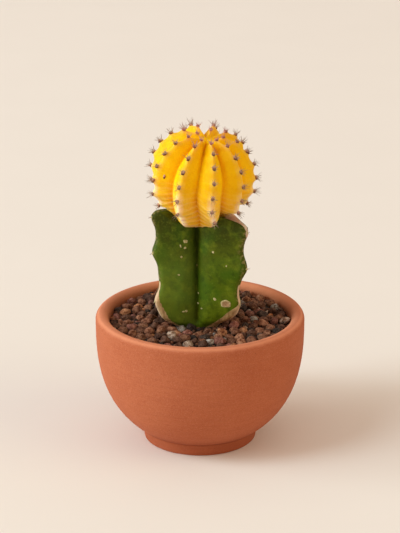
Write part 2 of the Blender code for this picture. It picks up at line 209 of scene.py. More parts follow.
def write_marks(mesh, marks):
    """Values for each point of a mesh, which its material reads by name."""
    for name, values in marks.items():
        made = mesh.attributes.new(name, "FLOAT", "POINT")
        made.data.foreach_set("value", np.asarray(values, np.float32))


def grow(name, points, faces, look, slot, node=None, marks=None):
    """A smooth-shaded piece from millimetre points. Without a slot it isn't attached to the root yet, nor
    its node hidden.
    """
    mesh = bpy.data.meshes.new(name)
    mesh.from_pydata((np.asarray(points, float) * MM).tolist(), [], faces)
    write_marks(mesh, marks or {})
    work = bmesh.new()
    work.from_mesh(mesh)
    bmesh.ops.recalc_face_normals(work, faces=work.faces)
    work.to_mesh(mesh)
    work.free()
    mesh.shade_smooth()
    obj = add_object(name, mesh)
    if look:
        mesh.materials.append(look)
    if slot:
        keep(obj, node)
    return obj


def keep(obj, node=None):
    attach(obj, "root")
    if node:
        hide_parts(node)


def circle(radius, sides):
    """(x, y, 0) points, from +X round."""
    turns = [math.tau * j / sides for j in range(sides)]
    return [(radius * math.cos(turn), radius * math.sin(turn), 0) for turn in turns]


def skin(rings, start=None, end=None, looped=False):
    """Points and faces through rings of equal length, closed by an end point or by looping round."""
    sides = len(rings[0])
    points = [tuple(p) for ring in rings for p in ring]
    faces = []
    for i in range(len(rings) if looped else len(rings) - 1):
        low = i * sides
        high = (i + 1) % len(rings) * sides
        for j in range(sides):
            k = (j + 1) % sides
            faces.append((low + j, low + k, high + k, high + j))
    for tip, ring in ((start, 0), (end, len(rings) - 1)):
        if tip is None:
            continue
        points.append(tuple(tip))
        for j in range(sides):
            k = (j + 1) % sides
            faces.append((ring * sides + j, ring * sides + k, len(points) - 1))
    return points, faces


class Heap:
    """Many small closed shapes gathered into one mesh."""

    def __init__(self):
        self.points = []
        self.faces = []
        self.marks = {}

    def add(self, points, faces, **marks):
        base = len(self.points)
        self.points += [tuple(p) for p in points]
        self.faces += [tuple(base + v for v in face) for face in faces]
        for name, value in marks.items():
            values = value if hasattr(value, "__len__") else [value] * len(points)
            self.marks.setdefault(name, []).extend(values)

    def piece(self, name, look, slot, node=None):
        return grow(name, self.points, self.faces, look, slot, node, self.marks)


def ball_mesh(subdivisions):
    """Points and faces of a sphere of radius 1."""
    work = bmesh.new()
    bmesh.ops.create_icosphere(work, subdivisions=subdivisions, radius=1.0)
    points = np.array([v.co for v in work.verts])
    faces = [tuple(v.index for v in face.verts) for face in work.faces]
    work.free()
    return points, faces


# -------- materials


def srgb(red, green, blue):
    """The linear colour that shows as these 0 to 255 values."""
    shares = [v / 255 for v in (red, green, blue)]
    return tuple(v / 12.92 if v <= 0.04045 else ((v + 0.055) / 1.055) ** 2.4 for v in shares)


class Look:
    """A node material, built by short calls."""

    def __init__(self, name, roughness=0.5, specular=0.5):
        self.material = bpy.data.materials.new(name)
        self.material.use_nodes = True
        self.tree = self.material.node_tree
        self.shader = self.tree.nodes["Principled BSDF"]
        self.shader.inputs["Roughness"].default_value = roughness
        self.shader.inputs["Specular IOR Level"].default_value = specular
        self.where = self.tree.nodes.new("ShaderNodeTexCoord").outputs["Object"]

    def node(self, kind, inputs=(), **settings):
        made = self.tree.nodes.new("ShaderNode" + kind)
        for name, value in settings.items():
            setattr(made, name, value)
        for name, value in dict(inputs).items():
            self.feed(made.inputs[name], value)
        return made

    def feed(self, socket, value):
        if isinstance(value, bpy.types.NodeSocket):
            self.tree.links.new(value, socket)
        else:
            socket.default_value = value

    def mark(self, name):
        return self.node("Attribute", attribute_name=name).outputs["Fac"]

    def noise(self, size, detail=2.0, stretch=None, rough=0.5):
        """Noise with features about size mm across; stretch lengthens them along an axis."""
        where = self.where
        if stretch:
            where = self.node("Mapping", {"Vector": where, "Scale": [1 / s for s in stretch]}).outputs[0]
        inputs = {"Vector": where, "Scale": 1000 / size, "Detail": detail, "Roughness": rough}
        return self.node("TexNoise", inputs).outputs["Fac"]

    def cells(self, size, output="Distance"):
        return self.node("TexVoronoi", {"Vector": self.where, "Scale": 1000 / size}).outputs[output]

    def ramp(self, value, *stops, steps="LINEAR"):
        """Colours by value. stops are (place from 0 to 1, colour from 0 to 255)."""
        made = self.node("ValToRGB", {"Fac": value})
        band = made.color_ramp
        band.interpolation = steps
        band.elements.remove(band.elements[1])
        for index, (place, colour) in enumerate(stops):
            element = band.elements.new(place) if index else band.elements[0]
            element.position = place
            element.color = (*srgb(*colour), 1)
        return made.outputs["Color"]

    def remap(self, value, low, high, to_low=0.0, to_high=1.0):
        inputs = {"Value": value, "From Min": low, "From Max": high, "To Min": to_low, "To Max": to_high}
        return self.node("MapRange", inputs, clamp=True).outputs["Result"]

    def math(self, operation, *values):
        made = self.node("Math", operation=operation)
        for socket, value in zip(made.inputs, values):
            self.feed(socket, value)
        return made.outputs[0]

    def times(self, first, second):
        return self.math("MULTIPLY", first, second)

    def mix(self, share, first, second, blend="MIX"):
        made = self.node("Mix", data_type="RGBA", blend_type=blend)
        self.feed(made.inputs["Factor"], share)
        for socket, value in ((made.inputs[6], first), (made.inputs[7], second)):
            self.feed(socket, value if isinstance(value, bpy.types.NodeSocket) else (*value, 1))
        return made.outputs[2]

    def wash(self, tone, colour, value, low, high, most):
        """The tone with a 0 to 255 colour laid over it, up to most as value goes from low to high."""
        return self.mix(self.remap(value, low, high, 0.0, most), tone, srgb(*colour))

    def bump(self, height, depth, strength=1.0, below=None):
        """Relief that is depth mm high."""
        inputs = {"Height": height, "Distance": depth * MM, "Strength": strength}
        if below:
            inputs["Normal"] = below
        return self.node("Bump", inputs).outputs["Normal"]

    def done(self, **inputs):
        for name, value in inputs.items():
            self.feed(self.shader.inputs[name.replace("_", " ")], value)
        return self.material


def terracotta():
    look = Look("terracotta", 0.9, 0.2)
    blotches = look.noise(26, 3.0)
    turning = look.noise(0.8, 3.0, (16, 16, 1))
    grain = look.noise(0.35, 2.0)
    tone = look.ramp(blotches, (0.3, (174, 91, 56)), (0.7, (183, 101, 65)))
    tone = look.wash(tone, (156, 76, 48), turning, 0.4, 0.66, 0.24)
    tone = look.wash(tone, (160, 80, 50), look.noise(1.1, 3.0), 0.4, 0.65, 0.3)
    tone = look.wash(tone, (204, 132, 98), grain, 0.5, 0.7, 0.4)
    tone = look.mix(look.remap(look.cells(1.9), 0.0, 0.14, 0.5, 0.0), tone, srgb(118, 56, 34))
    tone = look.mix(look.remap(look.cells(4.3), 0.0, 0.08, 0.6, 0.0), tone, srgb(104, 52, 34))
    height = look.node("SeparateXYZ", {"Vector": look.where}).outputs["Z"]
    # Painted shade: the foot and the lowest few millimetres of the bowl darker.
    tone = look.wash(tone, (146, 66, 36), height, 0.009, 0.0055, 0.45)
    # Painted shade: a dark line along the crease between the bowl and the foot.
    shaded_crease_distance = look.math("ABSOLUTE", look.math("SUBTRACT", height, (FOOT_HEIGHT + 0.5) * MM))
    tone = look.wash(tone, (130, 58, 30), shaded_crease_distance, 0.0009, 0.0003, 0.45)
    # Painted highlight: the lip's top paler, where the light falls on it.
    wear_and_painted_highlight = look.remap(look.math("MULTIPLY_ADD", look.noise(4.0, 3.0), 0.002, height), 0.0562, 0.058)
    tone = look.mix(look.times(wear_and_painted_highlight, 0.34), tone, srgb(228, 150, 114))
    flat = look.node("VectorMath", {0: look.where, 1: (1, 1, 0)}, operation="MULTIPLY").outputs["Vector"]
    reach = look.node("VectorMath", {0: flat}, operation="LENGTH").outputs["Value"]
    off_line = look.math("ABSOLUTE", look.math("SUBTRACT", reach, (POT_RADIUS - LIP_LINE_IN) * MM))
    # Painted light: the inner wall just above the grit lighter, lifting the shade there.
    inner_wall_painted_light = look.times(look.remap(reach, 0.0432, 0.0405), look.remap(height, 0.044, 0.050))
    tone = look.mix(look.times(inner_wall_painted_light, 0.5), tone, srgb(226, 146, 102))
    # Painted highlight: a thin pale ring round the lip's top.
    line = look.times(look.remap(off_line, 0.0009, 0.0002), look.remap(height, 0.055, 0.056))
    tone = look.mix(look.times(line, 0.36), tone, srgb(240, 156, 112))
    relief = look.bump(grain, 0.10, 0.6)
    relief = look.bump(turning, 0.08, 0.6, relief)
    return look.done(Base_Color=tone, Normal=relief)


def ball_skin_look():
    look = Look("yellow_skin", 0.55, 0.08)
    furrow, polar, felt, base, young = (
        look.mark(name) for name in ("furrow", "polar", "felt", "base", "young")
    )
    mottle = look.noise(5.0, 3.0)
    streaks = look.noise(1.2, 3.0, (6, 6, 1))
    # The furrow end of both ramps is deeper orange: partly the skin's own colour, partly painted shade in
    # the furrows.
    upper = look.ramp(
        furrow,
        (0.0, (240, 181, 6)),
        (0.3, (242, 184, 0)),
        (0.65, (250, 194, 0)),
        (1.0, (248, 178, 0)),
    )
    lower = look.ramp(
        furrow,
        (0.0, (240, 194, 112)),
        (0.3, (240, 188, 70)),
        (0.7, (240, 178, 46)),
        (1.0, (226, 142, 14)),
    )
    bands = look.math("MULTIPLY_ADD", mottle, 0.05, polar)
    bands = look.math("SINE", look.times(bands, 140.0))
    low = look.remap(look.math("MULTIPLY_ADD", mottle, 0.2, polar), 0.62, 0.86)
    lower = look.mix(look.remap(bands, 0.0, 1.0, 0.0, 0.42), lower, srgb(242, 202, 120))
    tone = look.mix(low, upper, lower)
    tone = look.wash(tone, (252, 202, 14), streaks, 0.5, 0.75, 0.3)
    tone = look.wash(tone, (242, 176, 0), look.noise(2.2, 3.0), 0.52, 0.7, 0.35)
    pores = look.noise(0.9, 3.0, rough=0.6)
    tone = look.wash(tone, (230, 160, 8), pores, 0.5, 0.66, 0.25)
    tone = look.mix(look.times(felt, 0.6), tone, srgb(246, 200, 110))
    # On the ball the paler crests low on the ribs are real wear, with no painted highlight.
    crest = look.remap(look.math("MULTIPLY_ADD", streaks, 0.3, furrow), 0.44, 0.18)
    wear_and_painted_highlight = look.times(look.remap(polar, 0.54, 0.72), crest)
    tone = look.mix(look.times(wear_and_painted_highlight, 0.8), tone, srgb(250, 224, 190))
    specks = look.times(wear_and_painted_highlight, look.remap(look.cells(1.3), 0.1, 0.3, 0.6, 0.0))
    tone = look.mix(specks, tone, srgb(190, 122, 92))
    tone = look.mix(look.times(young, 0.7), tone, srgb(248, 160, 96))
    frayed = look.times(base, look.remap(look.noise(0.9, 3.0), 0.4, 0.6, 0.35, 1.0))
    tone = look.mix(frayed, tone, srgb(222, 166, 112))
    relief = look.bump(look.noise(2.2, 4.0, rough=0.6), 0.4, 0.6)
    relief = look.bump(look.noise(0.5, 3.0), 0.08, 0.8, relief)
    relief = look.bump(look.times(bands, low), 0.10, 0.5, relief)
    look.shader.inputs["Subsurface Weight"].default_value = 0.45
    look.shader.inputs["Subsurface Scale"].default_value = 0.003
    look.shader.inputs["Subsurface Radius"].default_value = (1.0, 0.7, 0.06)
    return look.done(Base_Color=tone, Normal=relief)


def stock_look():
    look = Look("green_skin", 0.55, 0.1)
    height, cork, rim, valley = (look.mark(name) for name in ("height", "cork", "rim", "valley"))
    fleck = look.noise(0.7, 3.0)
    tone = look.ramp(
        look.math("MULTIPLY_ADD", look.noise(8.0, 4.0), 0.35, look.times(height, 0.75)),
        (0.1, (82, 96, 6)),
        (0.5, (84, 98, 8)),
        (0.75, (72, 82, 8)),
        (0.95, (56, 62, 6)),
    )
    tone = look.wash(tone, (54, 88, 8), look.noise(14.0, 2.0), 0.48, 0.64, 0.6)
    pale_spots = look.noise(4.5, 4.0, rough=0.6)
    tone = look.wash(tone, (122, 134, 28), pale_spots, 0.5, 0.7, 0.44)
    dark_spots = look.noise(2.6, 4.0, rough=0.6)
    tone = look.wash(tone, (44, 56, 4), dark_spots, 0.5, 0.66, 0.52)
    tone = look.wash(tone, (128, 144, 50), fleck, 0.58, 0.8, 0.3)
    tone = look.mix(look.times(rim, 0.4), tone, srgb(62, 58, 10))
    frayed = look.times(rim, look.remap(look.noise(1.4, 3.0), 0.5, 0.62))
    tone = look.mix(look.times(frayed, 0.55), tone, srgb(158, 134, 84))
    # Painted light: the face between the left wing and the front paler, as if lit more by the lamps.
    tone = look.mix(look.times(look.mark("pale"), 0.3), tone, srgb(108, 124, 46))
    # Painted shade: the cleft along each groove darker, more so higher up.
    groove_painted_shade = look.times(valley, look.remap(height, 0.0, 0.8, 0.1, 0.6))
    tone = look.mix(groove_painted_shade, tone, srgb(34, 50, 2))
    rough_cork = look.remap(look.math("MULTIPLY_ADD", look.noise(1.6, 4.0), 0.5, cork), 0.68, 0.8)
    bark = look.ramp(look.noise(1.3, 4.0, (1, 1, 3)), (0.3, (132, 98, 56)), (0.7, (200, 162, 112)))
    dry = look.mix(look.remap(look.noise(2.5, 2.0), 0.4, 0.6), srgb(216, 192, 164), srgb(196, 158, 136))
    bark = look.mix(look.times(rim, 0.7), bark, srgb(224, 190, 156))
    bark = look.mix(look.remap(height, 0.75, 0.85), bark, dry)
    tone = look.mix(rough_cork, tone, bark)
    relief = look.bump(fleck, 0.06, 0.5)
    relief = look.bump(look.times(rough_cork, look.noise(0.8, 4.0)), 0.35, 0.8, relief)
    rough = look.remap(rough_cork, 0.0, 1.0, 0.55, 0.95)
    return look.done(Base_Color=tone, Normal=relief, Roughness=rough)


def scar_look():
    look = Look("scar", 0.8, 0.2)
    tone = look.ramp(look.noise(0.6, 3.0), (0.3, (140, 128, 70)), (0.7, (214, 200, 148)))
    sore = look.ramp(look.noise(1.0, 3.0), (0.35, (134, 92, 58)), (0.65, (182, 130, 96)))
    tone = look.mix(look.mark("pink"), tone, sore)
    return look.done(Base_Color=tone, Normal=look.bump(look.noise(0.3, 2.0), 0.05, 0.6))


def felt_look():
    look = Look("felt", 0.95, 0.15)
    # Painted shade: each pad darker towards its lower edge and the skin.
    tone = look.ramp(
        look.mark("shade"), (0.0, (84, 44, 28)), (0.4, (152, 96, 70)), (0.75, (222, 170, 140))
    )
    tone = look.mix(look.times(look.mark("young"), 0.5), tone, srgb(226, 140, 140))
    tone = look.wash(tone, (116, 70, 50), look.noise(0.3, 2.0), 0.45, 0.7, 0.4)
    return look.done(Base_Color=tone, Normal=look.bump(look.noise(0.2, 2.0), 0.12, 1.0))


def spine_look():
    look = Look("spine", 0.55, 0.4)
    tone = look.ramp(
        look.mark("along"), (0.0, (132, 94, 70)), (0.3, (166, 134, 106)), (0.8, (116, 88, 70))
    )
    tone = look.mix(look.times(look.mark("young"), 0.6), tone, srgb(206, 136, 132))
    tone = look.wash(tone, (206, 186, 170), look.noise(0.6), 0.4, 0.7, 0.3)
    return look.done(Base_Color=tone)


def hair_look():
    look = Look("felt_hair", 0.9, 0.2)
    tone = look.ramp(look.mark("along"), (0.0, (150, 110, 104)), (1.0, (222, 200, 190)))
    tone = look.mix(look.times(look.mark("young"), 0.7), tone, srgb(230, 150, 150))
    return look.done(Base_Color=tone)


PEBBLE_COLOURS = (  # (share of the pebbles, colour)
    (0.24, (158, 106, 77)),
    (0.21, (114, 78, 59)),
    (0.18, (188, 131, 97)),
    (0.09, (62, 50, 43)),
    (0.08, (84, 66, 56)),
    (0.075, (182, 120, 102)),
    (0.04, (226, 156, 106)),
    (0.035, (186, 176, 164)),
    (0.05, (238, 208, 182)),
)


def pebble_look():
    look = Look("pebble", 0.75, 0.2)
    stops, start = [], 0.0
    for share, colour in PEBBLE_COLOURS:
        stops.append((start, colour))
        start += share
    tone = look.ramp(look.mark("kind"), *stops, steps="CONSTANT")
    speckle = look.noise(0.55, 4.0, rough=0.65)
    stain = look.noise(1.6, 3.0)
    tone = look.mix(look.remap(look.mark("light"), 0.0, 1.0, 0.5, 0.0), tone, srgb(44, 32, 26))
    tone = look.mix(look.remap(stain, 0.42, 0.62), tone, srgb(176, 150, 132), "MULTIPLY")
    tone = look.mix(look.remap(speckle, 0.48, 0.36), tone, srgb(150, 124, 110), "MULTIPLY")
    tone = look.wash(tone, (220, 186, 154), speckle, 0.6, 0.74, 0.4)
    relief = look.bump(speckle, 0.5, 1.0)
    return look.done(Base_Color=tone, Normal=relief)


def grit_look(name, dark, pale, size):
    look = Look(name, 0.95, 0.2)
    tone = look.ramp(look.cells(size, "Color"), (0.2, dark), (0.9, pale))
    tone = look.wash(tone, dark, look.noise(size * 3, 3.0), 0.4, 0.7, 0.5)
    return look.done(Base_Color=tone, Normal=look.bump(look.cells(size), 0.4, 0.8))


def paper_look():
    look = Look("studio_paper", 0.95, 0.1)
    tone = look.ramp(look.noise(60, 2.0), (0.3, (238, 227, 215)), (0.7, (239, 228, 216)))
    return look.done(Base_Color=tone)


# -------- pot


def bowl(z, radius=POT_RADIUS, drop=BOWL_DROP):
    below = max(0.0, WAIST_Z - z) / drop
    return radius * math.sqrt(1 - below**BOWL_POWER)


def cavity(z):
    return bowl(z, CAVITY_RADIUS, CAVITY_DROP)


def spaced(first, last, count):
    return [first + (last - first) * i / count for i in range(count + 1)]


def pot_profile():
    """(radius, height, strength of the wheel's marks) all round the wall's section."""
    lip = (POT_RADIUS - CAVITY_RADIUS) / 2
    lip_z = POT_HEIGHT - lip
    lip_middle = CAVITY_RADIUS + lip
    foot_middle = FOOT_BASE_RADIUS - FOOT_ROUNDING
    rows = [(r, 0.0, 0.0) for r in spaced(FOOT_RECESS_RADIUS, foot_middle, 4)]
    for turn in (-60, -30, 0):
        angle = math.radians(turn)
        rise = FOOT_ROUNDING + FOOT_ROUNDING * math.sin(angle)
        rows.append((foot_middle + FOOT_ROUNDING * math.cos(angle), rise, 0.0))
    rows += [(r, z, 0.4) for r, z in zip(spaced(24.4, FOOT_RADIUS, 6), spaced(1.2, FOOT_HEIGHT - 0.1, 6))]
    rows += [(FOOT_RADIUS + 0.1, FOOT_HEIGHT + 0.25, 0.2), (bowl(5.8) - 0.4, 5.6, 0.2)]
    rows += [(bowl(z), z, 1.0) for z in spaced(6.0, WAIST_Z, 96)]
    for turn in range(8, 180, 8):
        angle = math.radians(turn)
        share = 0.6 if turn < 40 else 0.25
        rows.append((lip_middle + lip * math.cos(angle), lip_z + lip * math.sin(angle), share))
    rows += [(cavity(z), z, 0.5) for z in reversed(spaced(10.0, WAIST_Z, 60))]
    floor_and_drain = (
        (FLOOR_RADIUS, FLOOR_Z),
        (DRAIN_RADIUS + 0.5, FLOOR_Z),
        (DRAIN_RADIUS, FLOOR_Z - 0.5),
        (DRAIN_RADIUS, FOOT_RECESS_DEPTH + 0.4),
        (DRAIN_RADIUS + 0.4, FOOT_RECESS_DEPTH),
        (FOOT_RECESS_RADIUS - 1.0, FOOT_RECESS_DEPTH),
        (FOOT_RECESS_RADIUS - 0.2, FOOT_RECESS_DEPTH * 0.6),
    )
    return rows + [(radius, z, 0.0) for radius, z in floor_and_drain]


def make_pot():
    """The turned bowl, with the fine rings that the wheel left on it."""
    rings = []
    for radius, z, share in pot_profile():
        ring = []
        for j in range(POT_SIDES):
            turn = math.tau * j / POT_SIDES
            way = Vector((math.cos(turn), math.sin(turn), 0))
            rising = z + turn * 0.12
            mark = noise.noise(Vector((rising * 1.1, 3.0, turn * 0.3)))
            mark += 0.5 * noise.noise(Vector((rising * 2.7, 9.0, turn * 0.5)))
            broad = noise.noise(way * 1.3 + Vector((0, 0, z * 0.05)))
            reach = radius - share * (0.06 + 0.05 * mark + 0.06 * broad)
            ring.append((reach * way.x, reach * way.y, z))
        rings.append(ring)
    points, faces = skin(rings, looped=True)
    grow("terracotta_pot", points, faces, terracotta(), "terracotta", "pot")


# -------- gravel


def bed_height(x, y):
    mound = GRAVEL_MOUND * (1 - (math.hypot(x, y) / CAVITY_RADIUS) ** 2)
    return GRAVEL_Z + mound + GRAVEL_RISE * smooth((y + 8) / 46)


def near_stock(x, y, margin, z):
    """Whether a disc with this margin touches the stock at height z."""
    for step in range(12):
        turn = math.tau * step / 12
        px, py = x + margin * math.cos(turn), y + margin * math.sin(turn)
        if math.hypot(px - STOCK_X, py) < stock_reach(azimuth_of(px - STOCK_X, py), z):
            return True
    return math.hypot(x, y) < GROOVE_RADIUS


def scatter(draw, radii, tries, spacing, level):
    """(x, y, radius) of pebbles, large ones first, clear of the wall, the stock and each other."""
    largest, smallest = radii
    found = []
    for attempt in range(tries):
        radius = largest - (largest - smallest) * min(1.0, attempt / tries * 2) * draw.random() ** 0.5
        reach = math.sqrt(draw.random()) * CAVITY_RADIUS
        turn = draw.random() * math.tau
        x, y = reach * math.cos(turn), reach * math.sin(turn)
        if reach + radius > cavity(GRAVEL_Z):
            continue
        if any(math.hypot(x - px, y - py) < spacing * (radius + pr) for px, py, pr in found):
            continue
        if near_stock(x, y, radius * 0.9, level):
            continue
        found.append((x, y, radius))
    return found


def pebble(points, draw):
    """A stone: a sphere with flats struck off it, stretched and turned."""
    shaped = points.copy()
    for _ in range(draw.randint(7, 11)):
        way = np.array(Vector([draw.gauss(0, 1) for _ in range(3)]).normalized())
        over = np.maximum(0.0, shaped @ way - draw.uniform(0.62, 0.86))
        shaped -= np.outer(over * 0.85, way)
    start = Vector([draw.uniform(-50, 50) for _ in range(3)])
    rough = [noise.fractal(Vector(p) * 1.8 + start, 0.7, 2.0, 4) for p in points]
    shaped *= (1 + 0.13 * np.array(rough))[:, None]
    size = [draw.uniform(1.0, 1.25), draw.uniform(0.85, 1.05), draw.uniform(0.7, 0.92)]
    turn = Euler((draw.uniform(-0.5, 0.5), draw.uniform(-0.5, 0.5), draw.uniform(0, 6.28))).to_matrix()
    return (shaped * size) @ np.array(turn).T


def add_pebble(heap, shape, faces, centre, radius, draw):
    points = pebble(shape, draw) * radius + np.array(centre)
    heap.add(points.tolist(), faces, kind=draw.random(), light=draw.random())


def make_grit_bed():
    """The uneven grit between the soil and the pebbles."""
    rows = [(cavity(z) - GAP, z) for z in (SOIL_TOP_Z, 48.0, GRAVEL_Z)]
    rows += [(reach, None) for reach in spaced(37.6, 1.0, 24)]
    rings = []
    for radius, wall_z in rows:
        ring = []
        for x, y, _ in circle(radius, BED_SIDES):
            level = bed_height(x, y) + 0.5 * noise.fractal(Vector((x, y, 0)) * 0.4, 1.0, 2.0, 3) - 0.3
            if wall_z is not None:
                level = wall_z if wall_z < GRAVEL_Z else bed_height(x, y) - 0.8
            ring.append((x, y, level))
        rings.append(ring)
    points, faces = skin(rings, (0, 0, SOIL_TOP_Z), (0, 0, bed_height(0, 0)))
    grit = grit_look("grit_bed", (26, 17, 13), (70, 48, 38), 0.9)
    grow("grit_bed", points, faces, grit, "grit", "gravel")


def make_pebbles():
    draw = random.Random(PEBBLE_SEED)
    look = pebble_look()
    fine, plain = ball_mesh(3), ball_mesh(2)
    places = scatter(draw, **TOP_PEBBLES)
    for part in range(0, len(places), PEBBLES_A_PIECE):
        heap = Heap()
        for x, y, radius in places[part : part + PEBBLES_A_PIECE]:
            z = bed_height(x, y) + 0.3 * radius + draw.uniform(-0.9, 0.8)
            add_pebble(heap, *(fine if radius > FINE_PEBBLE_RADIUS else plain), (x, y, z), radius, draw)
        heap.piece(f"top_pebbles_{part // PEBBLES_A_PIECE + 1}", look, "grit", "gravel")
    fillers = scatter(draw, **FILLING_PEBBLES)
    heap = Heap()
    for x, y, radius in fillers:
        z = bed_height(x, y) - 0.1 + draw.uniform(-0.3, 0.3)
        add_pebble(heap, *plain, (x, y, z), radius, draw)
    heap.piece("filling_pebbles", look, "grit", "gravel")


# -------- rootstock


def along(outline, z):
    """The value at z on a smooth curve through (z, value) points, flat at each end."""
    if z <= outline[0][0]:
        return outline[0][1]
    for i in range(len(outline) - 1):
        (z0, v0), (z1, v1) = outline[i], outline[i + 1]
        if z <= z1:
            before = outline[max(i - 1, 0)]
            after = outline[min(i + 2, len(outline) - 1)]
            slope0 = (v1 - before[1]) / (z1 - before[0])
            slope1 = (after[1] - v0) / (after[0] - z0)
            t, span = (z - z0) / (z1 - z0), z1 - z0
            return (
                (2 * t**3 - 3 * t**2 + 1) * v0
                + (t**3 - 2 * t**2 + t) * span * slope0
                + (3 * t**2 - 2 * t**3) * v1
                + (t**3 - t**2) * span * slope1
            )
    return outline[-1][1]


def azimuth_of(x, y):
    """Degrees from the front towards +X."""
    return math.degrees(math.atan2(x, -y))


def nearest_wing(azimuth):
    """(index of the nearest wing, degrees from its middle)."""
    turns = [abs((azimuth - middle + 180) % 360 - 180) for middle in WING_AZIMUTHS]
    return turns.index(min(turns)), min(turns)


def wing_edge(wing, z):
    """The reach of a wing's edge, with its swellings at the areoles."""
    reach = along(WING_EDGES[wing], z)
    for level, rise in WING_AREOLES[wing]:
        reach += rise * math.exp(-(((z - level) / WING_AREOLE_SPREAD) ** 2))
    return reach


def stock_reach(azimuth, z):
    """How far the stock reaches. A wing's flanks bulge from groove to edge, which is rounded."""
    wing, turn = nearest_wing(azimuth)
    edge = wing_edge(wing, z)
    away = math.radians(turn)
    half = math.radians(HALF_WING)
    straight = math.sin(half) / (
        math.sin(half - away) / (edge + WING_KEENNESS) + math.sin(away) / GROOVE_RADIUS
    )
    swell = WING_BULGE * smooth((edge - 8) / 8)
    full = straight * (1 + swell * math.sin(math.pi * turn / HALF_WING) ** 0.8)
    both = math.exp(-EDGE_SHARPNESS * full) + math.exp(-EDGE_SHARPNESS * edge)
    return -math.log(both) / EDGE_SHARPNESS


def stock_top(azimuth):
    wing, turn = nearest_wing(azimuth)
    return along(WING_TOPS[wing], turn)


def stock_point(azimuth, z, lift=0.0):
    """On the stock's skin, or lift outside it."""
    turn = math.radians(azimuth)
    way = Vector((math.sin(turn), -math.cos(turn), 0))
    wave = noise.fractal(Vector((way.x * 3, way.y * 3, z * 0.12)), 1.0, 2.0, 3)
    above = smooth((z - BURIED_TOP_Z) / 3)
    wing, turned = nearest_wing(azimuth)
    valley = math.exp(-(((HALF_WING - turned) / VALLEY_SPREAD) ** 2))
    valley *= 0.55 + 0.45 * smooth((z - 60) / 30)
    reach = stock_reach(azimuth, z) + lift + above * (0.3 * wave - VALLEY_DEPTH * valley)
    if wing == DRY_WING:
        frill = smooth((z - 95) / 4) * smooth(1.4 - turned / 6)
        reach += 0.9 * frill * noise.fractal(Vector((azimuth * 0.4, z * 0.9, 0)), 0.8, 2.0, 3)
    return Vector((STOCK_X, 0, z)) + way * reach


def cork_share(azimuth, z, away):
    """How corky the stock's skin is: round the wings' lower ends, up their edges, and on the dry top."""
    wing, turn = nearest_wing(azimuth)
    low = smooth(0.5 + (along(CORK_LIMITS[wing], turn) - z) / 1.6)
    line = smooth(2.2 - turn) * smooth((75 - z) / 3)
    dry = 0.0
    if wing == DRY_WING:
        edge = smooth((z - 94) / 3) * smooth(1.9 - turn * 0.8)
        inside = smooth((0.99 - away / stock_reach(azimuth, z)) / 0.02) * smooth((azimuth - 53) / 5)
        dry = max(edge, inside * smooth(z - stock_top(azimuth) + 1))
    return max(low, line, dry)


def stock_columns():
    """Azimuths of the stock's columns, closer together at the wings' edges and in the grooves."""
    turns = spaced(0, 12, 10) + spaced(14, 44, 12) + spaced(46, 58, 9)
    found = []
    for middle in WING_AZIMUTHS:
        found += [middle - turn for turn in reversed(turns[1:])]
        found += [middle + turn for turn in turns]
        found.append(middle + HALF_WING)
    return found


def cut_by(obj, cutter):
    """Takes cutter out of obj, and removes it."""
    modifier = obj.modifiers.new("cut", "BOOLEAN")
    modifier.operation = "DIFFERENCE"
    modifier.solver = "MANIFOLD"
    modifier.object = cutter
    bpy.context.view_layer.update()
    evaluated = obj.evaluated_get(bpy.context.evaluated_depsgraph_get())
    mesh = bpy.data.meshes.new_from_object(evaluated)
    obj.modifiers.clear()
    obj.data = mesh
    bpy.data.objects.remove(cutter)


def stock_marks(mesh):
    """What the stock's skin reads at each vertex."""
    marks = {"height": [], "cork": [], "rim": [], "valley": [], "pale": []}
    for vertex in mesh.vertices:
        x, y, z = vertex.co / MM
        azimuth = azimuth_of(x - STOCK_X, y)
        _, turn = nearest_wing(azimuth)
        marks["height"].append((z - BURIED_TOP_Z) / (GROOVE_TOP_Z - BURIED_TOP_Z))
        marks["cork"].append(cork_share(azimuth, z, math.hypot(x - STOCK_X, y)))
        marks["rim"].append(smooth(1.15 - turn / 5))
        marks["valley"].append(smooth((turn - 40) / 16))
        # Painted light on the face between the left wing and the front, fading out towards the top.
        lit_left_face = smooth((-azimuth - 2) / 12) * smooth((azimuth + 66) / 8)
        marks["pale"].append(lit_left_face * smooth((93 - z) / 14))
    return marks


def make_stock():
    """The winged stem, with the scion's seat cut into its top."""
    columns = stock_columns()
    rings = []
    for z in spaced(STOCK_END_Z, BURIED_TOP_Z, 12):
        lift = -STOCK_END_ROUNDING if z == STOCK_END_Z else 0.0
        rings.append([stock_point(azimuth, z, lift) for azimuth in columns])
    for share in spaced(0, 1, STOCK_ROWS)[1:]:
        heights = [BURIED_TOP_Z + share * (stock_top(azimuth) - BURIED_TOP_Z) for azimuth in columns]
        rings.append([stock_point(azimuth, z) for azimuth, z in zip(columns, heights)])
    rim = rings[-1]
    # (share of the way out to the rim, rise over it) of the rings inside it
    for share, rise in ((0.975, 0.3), (0.93, 0.5), (0.8, 0.55), (0.55, 0.5), (0.25, 0.6)):
        rings.append([(STOCK_X + share * (p.x - STOCK_X), share * p.y, p.z + rise) for p in rim])
    start = (STOCK_X, 0, STOCK_END_Z - STOCK_END_BULGE)
    points, faces = skin(rings, start, (STOCK_X, 0, GROOVE_TOP_Z + 3))
    stock = grow("winged_stock", points, faces, stock_look(), None)
    seat_points, seat_faces, _ = ball_surface(SEAT_GAP, 90, 8)
    cut_by(stock, grow("seat", seat_points, seat_faces, None, None))
    write_marks(stock.data, stock_marks(stock.data))
    keep(stock, "rootstock")


def stock_frame(azimuth, z):
    """(point, outward, upward, sideways) on the stock's skin."""
    point = stock_point(azimuth, z)
    side = (stock_point(azimuth + 2, z) - stock_point(azimuth - 2, z)).normalized()
    up = (stock_point(azimuth, z + 0.6) - stock_point(azimuth, z - 0.6)).normalized()
    return point, side.cross(up).normalized(), up, side


